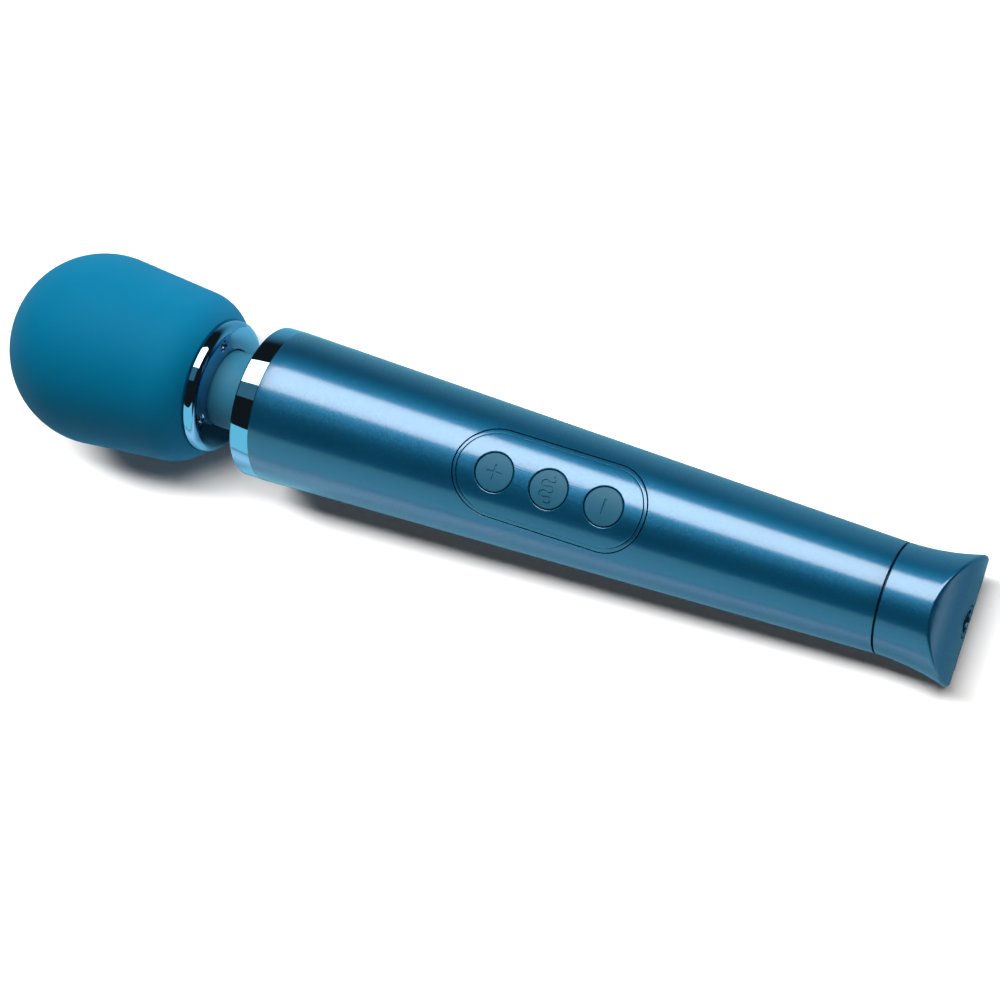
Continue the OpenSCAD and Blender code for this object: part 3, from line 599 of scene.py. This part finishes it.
def tighten(piece, radius, edge, closeUp=0):  # along its long sides an edge gets sharper, and the seam closes
    nearEdge, tight = edge * sideEdges["slack"], sideEdges["tight"]
    for vertex in piece.data.vertices:
        x, y, z = vertex.co / mm
        past = max(abs(x) - panel["pitch"], 0)
        out = math.hypot(past, y)
        if abs(out - radius) > nearEdge:
            continue
        share = (abs(y) / out) ** sideEdges["bias"]
        moved = out
        if z > -nearEdge:
            moved += (radius - out) * tight * share
            vertex.co.z -= z * tight * share * mm
        moved += closeUp * share
        vertex.co.x += math.copysign(past * (moved / out - 1) * mm, x)
        vertex.co.y = y * moved / out * mm


def makeBezel(outside, inside, deep, ledge, edge, edgeSteps, seatGap, sides):
    shelf = -panel["thick"] - seatGap
    piece = turned("panelBezel", roundOff([
        (-deep, outside, 0), (0, outside, edge), (0, inside, edge), (shelf, inside, 0),
        (shelf, inside - ledge, 0), (-deep, inside - ledge, 0), (-deep, outside, 0)], edgeSteps), sides)
    place(piece, standUp)
    drawOut(piece, panel["pitch"])
    tighten(piece, inside, edge)
    ontoGrip(piece)
    place(piece, onPanel)
    ready(piece, "flake_paint", "panel_bezel", "handle")


makeBezel(**bezel)

buttonHole = dict(radius=4.7, edge=0.36, edgeSteps=6, deep=9, high=1, sides=96)


def makeButtonHoles(radius, edge, edgeSteps, deep, high, sides):
    turns = [math.radians(angle) for angle in evenly(0, 90, edgeSteps)]
    lip = [(-edge * (1 - math.sin(turn)), radius + edge * (1 - math.cos(turn))) for turn in turns]
    hole = turned("buttonHole", [(-deep, 0), (-deep, radius), *lip, (high, radius + edge), (high, 0)], sides)
    place(hole, standUp)
    return repeated(hole, "buttonHoles", [Matrix.Translation((x * mm, 0, 0)) for x in buttonPlaces])


def makePanel(pitch, radius, thick, edge, edgeSteps, centre, topRings, closeUp, sides):
    rim = roundOff([(-thick, radius, 0), (0, radius, edge), (0, 0, 0)], edgeSteps)[1:-1]
    top = [(0, out) for out in evenly(0, radius, topRings)[-2:0:-1]]
    piece = turned("controlPanel", [(-thick, centre), (-thick, radius)] + rim + top, sides)
    place(piece, standUp)
    drawOut(piece, pitch)
    tighten(piece, radius, edge, closeUp)
    edited(piece, (bpy.ops.mesh.fill_holes, dict(sides=0)),
           (bpy.ops.mesh.normals_make_consistent, dict(inside=False)))
    carve(piece, makeButtonHoles(**buttonHole))
    inTriangles(piece)
    ontoGrip(piece)
    place(piece, onPanel)
    ready(piece, "flake_paint", "control_panel", "handle")


makePanel(**panel)
print("handle")

# buttons
button = dict(radius=4.54, edge=0.22, edgeSteps=5, bottom=-5.65, flangeTop=-4.65, topRings=9, sink=0.1,
              crown=-1.2, sides=96)
mark = dict(wide=0.52, long=3.7, deep=0.22, high=1, waveWide=0.42, waveStep=7.8, waveLean=1.85, waveCount=2.4,
            waveRows=150)


def bar(width, length):  # an engraving tool that stands through the button's top
    high = mark["high"]
    return added("markTool", bpy.ops.mesh.primitive_cube_add, (width * mm, length * mm, high * mm), size=1,
                 location=(0, 0, (high / 2 - mark["deep"]) * mm))


def plusMark():
    upright, across = bar(mark["wide"], mark["long"]), bar(mark["long"], mark["wide"])
    carve(upright, across, "UNION")
    return upright


def minusMark():
    return bar(mark["wide"], mark["long"])


def waveMark():  # a flat strip laid along a meander, then raised
    rows, count = mark["waveRows"], mark["waveCount"]
    tool = added("markTool", bpy.ops.mesh.primitive_grid_add, x_subdivisions=1, y_subdivisions=rows, size=1,
                 location=(0, 0, -mark["deep"] * mm))
    stride = mark["waveStep"] * count / rows
    middle, headings = [Vector((0, 0))], []
    for row in range(rows + 1):
        headings.append(mark["waveLean"] * math.cos(2 * math.pi * count * row / rows))
        middle.append(middle[-1] + Vector((math.sin(headings[-1]), math.cos(headings[-1]))) * stride)
    centre = (middle[0] + middle[-1]) / 2
    for vertex in tool.data.vertices:
        row = round((vertex.co.y + 0.5) * rows)  # the grid is still 1 long about its middle
        half = math.copysign(mark["waveWide"] / 2, vertex.co.x)
        across = Vector((math.cos(headings[row]), -math.sin(headings[row])))
        spot = middle[row] - centre + across * half
        vertex.co.x, vertex.co.y = spot.x * mm, spot.y * mm
    edited(tool, (bpy.ops.mesh.extrude_region_move,
                  dict(TRANSFORM_OT_translate={"value": (0, 0, mark["high"] * mm)})))
    tidyMesh(tool)
    return tool


def makeButtons(radius, edge, edgeSteps, bottom, flangeTop, topRings, sink, crown, sides):
    low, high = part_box("button_plus")
    flange = (high.y - low.y) / 2 / mm
    top = [(0, out, 0) for out in evenly(0, radius, topRings)[-2::-1]]
    blank = turned("buttonBlank", roundOff([
        (bottom, 0, 0), (bottom, flange, 0), (flangeTop, flange, 0), (flangeTop, radius, 0),
        (0, radius, edge), *top], edgeSteps), sides)
    place(blank, standUp)
    for name, x, tool in zip(("plus", "mode", "minus"), buttonPlaces, (plusMark, waveMark, minusMark)):
        cap = copyOf(blank, name + "Button")
        carve(cap, tool())
        inTriangles(cap)
        place(cap, Matrix.Translation((x * mm, 0, 0)))
        ontoGrip(cap, crown, sink)
        place(cap, onPanel)
        ready(cap, "button_soft_touch", "button_" + name, name)
    bpy.data.objects.remove(blank)


makeButtons(**button)
print("buttons")

# tail
tail = dict(front=232.936, spigotFront=223.486, spigot=11.2, hollow=8.4, hollowEnd=236.986, flareAt=233.486,
            flareOut=71.0914, flareRadius=58, endAt=229.436, endRadius=20.8, rimGuess=245.0, rimRoom=1,
            rimEdge=0.7, frontEdge=0.2, hole=3.9, holeEdge=0.22, edgeSteps=5, sideRows=16, faceRows=14,
            sides=192)


def flare(along):
    return tail["flareOut"] - math.sqrt(tail["flareRadius"] ** 2 - (along - tail["flareAt"]) ** 2)


def endFace(out, angle, inset=0):
    return tail["endAt"] + math.sqrt((tail["endRadius"] - inset) ** 2 - (out * math.cos(angle)) ** 2)


def tailProfile(angle):
    front, hole, hollow, spigot = tail["front"], tail["hole"], tail["hollow"], tail["spigot"]
    rim = tail["rimGuess"]
    for _ in range(30):  # closes in on where the flare meets the end face
        rim = endFace(flare(rim), angle)
    rimOut, room = flare(rim), tail["rimRoom"]
    side = [(along, flare(along), 0) for along in evenly(front, rim - room, tail["sideRows"])[1:]]
    face = [(endFace(out, angle), out, 0) for out in evenly(rimOut - room, hole + room, tail["faceRows"])]
    return roundOff([
        (tail["spigotFront"], hollow, 0), (tail["spigotFront"], spigot, 0), (front, spigot, 0),
        (front, flare(front), tail["frontEdge"]), *side, (rim, rimOut, tail["rimEdge"]), *face,
        (endFace(hole, angle), hole, tail["holeEdge"]), (tail["hollowEnd"], hole, 0),
        (tail["hollowEnd"], hollow, 0)], tail["edgeSteps"])


jack = dict(front=245.236, radius=3.6, bore=2.75, inset=0.1, edge=0.2, edgeSteps=4, seam=0.01, sides=96)


def bushProfile(angle):
    front, bore, radius, edge = jack["front"], jack["bore"], jack["radius"], jack["edge"]
    return roundOff([
        (front, bore, 0), (front, radius, 0), (endFace(radius, angle, jack["inset"]), radius, edge),
        (endFace(bore, angle, jack["inset"]), bore, edge), (front + jack["seam"], bore, 0)],
        jack["edgeSteps"])


def swept(name, profileAt, sides):  # like turned, where the profile changes with the angle
    points, faces = [], []
    for side in range(sides):
        angle = 2 * math.pi * side / sides
        points += [(along * mm, out * math.sin(angle) * mm, out * math.cos(angle) * mm)
                   for along, out in profileAt(angle)]
    count = len(points) // sides
    for side in range(sides):
        here, there = side * count, (side + 1) % sides * count
        for row in range(count):
            ahead = (row + 1) % count
            faces.append((here + row, here + ahead, there + ahead, there + row))
    mesh = bpy.data.meshes.new(name)
    mesh.from_pydata(points, [], faces)
    piece = bpy.data.objects.new(name, mesh)
    bpy.context.scene.collection.objects.link(piece)
    tidyMesh(piece)
    return piece


jackPin = dict(shank=1.45, floor=240.236, radius=1.05, tip=249.236, edge=0.35, edgeSteps=5, sides=48)


def makePin(shank, floor, radius, tip, edge, edgeSteps, sides):
    root = wandReach("jack_pin")[0]
    return turned("jackPin", roundOff([
        (root, 0, 0), (root, shank, 0), (floor, shank, 0), (floor, radius, 0), (tip, radius, edge),
        (tip, 0, 0)], edgeSteps), sides)


for piece, slot, node in ((swept("tailCap", tailProfile, tail["sides"]), "flake_paint", "tail_cap"),
                          (swept("jackBush", bushProfile, jack["sides"]), "socket_metal", "jack_bush"),
                          (makePin(**jackPin), "steel", "jack_pin")):
    place(piece, layDown)
    ready(piece, slot, node, "handle")
print("tail")

# floor, lights and camera, in metres
white, dim = (1, 1, 1, 1), (0.02, 0.02, 0.02, 1)
floorSize = 60
# painted reflection and painted shade: mirrored rays see the floor tinted cool, darker close to the wand and paler
# by the neck gap
paper = dict(wandHalf=0.125, plain=(0.88, 0.88, 0.88, 1), mirrorShadeFrom=(0.015, 0.12),
             mirrorShadeNear=(0.09, 0.23, 0.29, 1), mirrorTintFar=(0.5, 0.72, 0.8, 1), blankFrom=(0.2, 0.45),
             gapAt=-0.061, gapHalf=(0.008, 0.016), mirrorLightGap=(0.17, 0.42, 0.5, 1))


def floorPaper(wandHalf, plain, mirrorShadeFrom, mirrorShadeNear, mirrorTintFar, blankFrom, gapAt, gapHalf, mirrorLightGap):
    look, tree = newLook("floorPaper")
    spot = addNode(tree, "ShaderNodeSeparateXYZ", {"Vector": objectSpot(tree)}).outputs
    past = number(tree, "MAXIMUM", number(tree, "SUBTRACT", number(tree, "ABSOLUTE", spot["X"]), wandHalf), 0)
    reach = addNode(tree, "ShaderNodeCombineXYZ", {"X": past, "Y": spot["Y"]}).outputs[0]
    away = addNode(tree, "ShaderNodeVectorMath", {"Vector": reach}, operation="LENGTH").outputs["Value"]
    fromGap = number(tree, "ABSOLUTE", number(tree, "SUBTRACT", spot["X"], gapAt))

    def rising(value, span):  # 0 close by, 1 far off
        return ranged(tree, value, span, kind="SMOOTHSTEP")

    rays = tree.nodes.new("ShaderNodeLightPath").outputs
    mirrored = number(tree, "MAXIMUM", rays["Is Glossy Ray"], rays["Is Transmission Ray"])
    near = mixedColour(tree, rising(fromGap, gapHalf), mirrorLightGap, mirrorShadeNear)  # painted light: for mirrored rays the floor is paler by the neck
    # painted shade: for mirrored rays the floor darkens close to the wand, with a cool painted tint farther off
    cool = mixedColour(tree, rising(away, mirrorShadeFrom), near, mirrorTintFar)
    chalk = addNode(tree, "ShaderNodeBsdfDiffuse", {"Color": mixedColour(tree, mirrored, plain, cool)})
    beyond = addNode(tree, "ShaderNodeEmission", {"Color": white, "Strength": 1.0})
    blank = number(tree, "MULTIPLY", rising(away, blankFrom), rays["Is Camera Ray"])
    shown = addNode(tree, "ShaderNodeMixShader", {"Fac": blank})
    tree.links.new(chalk.outputs[0], shown.inputs[1])
    tree.links.new(beyond.outputs[0], shown.inputs[2])
    tree.links.new(shown.outputs[0], tree.nodes["Material Output"].inputs["Surface"])
    return look


floor = added("floor", bpy.ops.mesh.primitive_plane_add, size=floorSize)
floor.data.materials.append(floorPaper(**paper))

# angles are from overhead towards +Y, and floorLink has a lamp leave the floor out or light it alone
lampsAbove = 0.02
lamps = dict(
    keyLight=dict(angle=35, distance=0.8, wide=0.86, tall=0.53, radiance=8.0, shift=-0.145,
                  colour=(1.0, 0.94, 0.89), floorLink="EXCLUDE"),
    floorLight=dict(angle=15.5, distance=0.9, wide=1.1, tall=0.23, radiance=26.5, shift=-0.06,
                    floorLink="INCLUDE"),
    bounceLight=dict(angle=-45, distance=0.8, wide=1.2, tall=0.6, radiance=0.18, colour=(1.0, 0.62, 0.25),
                     floorLink="INCLUDE"),  # keeps the shadow grey beside a blue wand
    topLight=dict(angle=5, distance=0.9, wide=0.9, tall=0.34, radiance=0.32, shift=-0.3,
                  colour=(0.35, 0.85, 1.0), glossOnly=True),
    fillLight=dict(angle=-70, distance=0.6, wide=1.2, tall=0.45, radiance=1.25, colour=(0.38, 0.95, 1.0),
                   glossOnly=True),
)


def softbox(name, angle, distance, wide, tall, radiance, shift=0, colour=(1, 1, 1), floorLink=None,
            glossOnly=False):
    turn = math.radians(angle)
    bpy.ops.object.select_all(action="DESELECT")
    bpy.ops.object.light_add(type="AREA", rotation=(-turn, 0, 0), location=(
        shift, distance * math.sin(turn), lampsAbove + distance * math.cos(turn)))
    lamp = bpy.context.object
    lamp.name = name
    lamp.data.shape, lamp.data.size, lamp.data.size_y = "RECTANGLE", wide, tall
    lamp.data.energy = radiance * math.pi * wide * tall
    lamp.data.color = colour
    lamp.visible_camera = False
    lamp.visible_diffuse = not glossOnly
    if floorLink:
        linked = bpy.data.collections.new(name + "Floor")
        linked.objects.link(floor)
        linked.collection_objects[0].light_linking.link_state = floorLink
        lamp.light_linking.receiver_collection = linked


for name, lamp in lamps.items():
    softbox(name, **lamp)

paintedReflectionCard = dict(long=1.2, tall=0.126, at=(0, 0.0705, 0.046), lean=46, fade=(0.01, 0.036),
                low=(0.22, 0.62, 0.78, 1))  # painted reflection: glows pale and cool towards the floor, dark above


def makePaintedReflectionCard(long, tall, at, lean, fade, low):
    flag = added("paintedReflectionCard", bpy.ops.mesh.primitive_plane_add, (long, tall, 1), size=1, location=at,
                 rotation=(math.radians(lean), 0, 0))
    look, tree = newLook("paintedReflectionLook")
    height = addNode(tree, "ShaderNodeSeparateXYZ", {"Vector": objectSpot(tree)}).outputs["Z"]
    paintedCardColour = mixedColour(tree, ranged(tree, height, fade, kind="SMOOTHSTEP"), low, dim)
    glow = addNode(tree, "ShaderNodeEmission", {"Color": paintedCardColour})
    tree.links.new(glow.outputs[0], tree.nodes["Material Output"].inputs["Surface"])
    flag.data.materials.append(look)
    # the card shows only in mirrored rays, as a painted reflection
    flag.visible_camera = flag.visible_diffuse = flag.visible_shadow = flag.visible_transmission = False


makePaintedReflectionCard(**paintedReflectionCard)

world = bpy.data.worlds.new("studio")
bpy.context.scene.world = world
world.use_nodes = True
tree = world.node_tree
seen = tree.nodes.new("ShaderNodeLightPath").outputs["Is Camera Ray"]
feed(tree, tree.nodes["Background"].inputs[0], mixedColour(tree, seen, dim, white))

view = dict(at=(0.274216, 0, 0.631406), turn=(6.908, 22.284, 18.987), lens=101.8266, sensor=36)
bpy.ops.object.select_all(action="DESELECT")
bpy.ops.object.camera_add(location=view["at"], rotation=[math.radians(angle) for angle in view["turn"]])
camera = bpy.context.object
camera.data.lens, camera.data.sensor_width = view["lens"], view["sensor"]
bpy.context.scene.camera = camera
bpy.context.scene.view_settings.view_transform = "Standard"
print("scene")
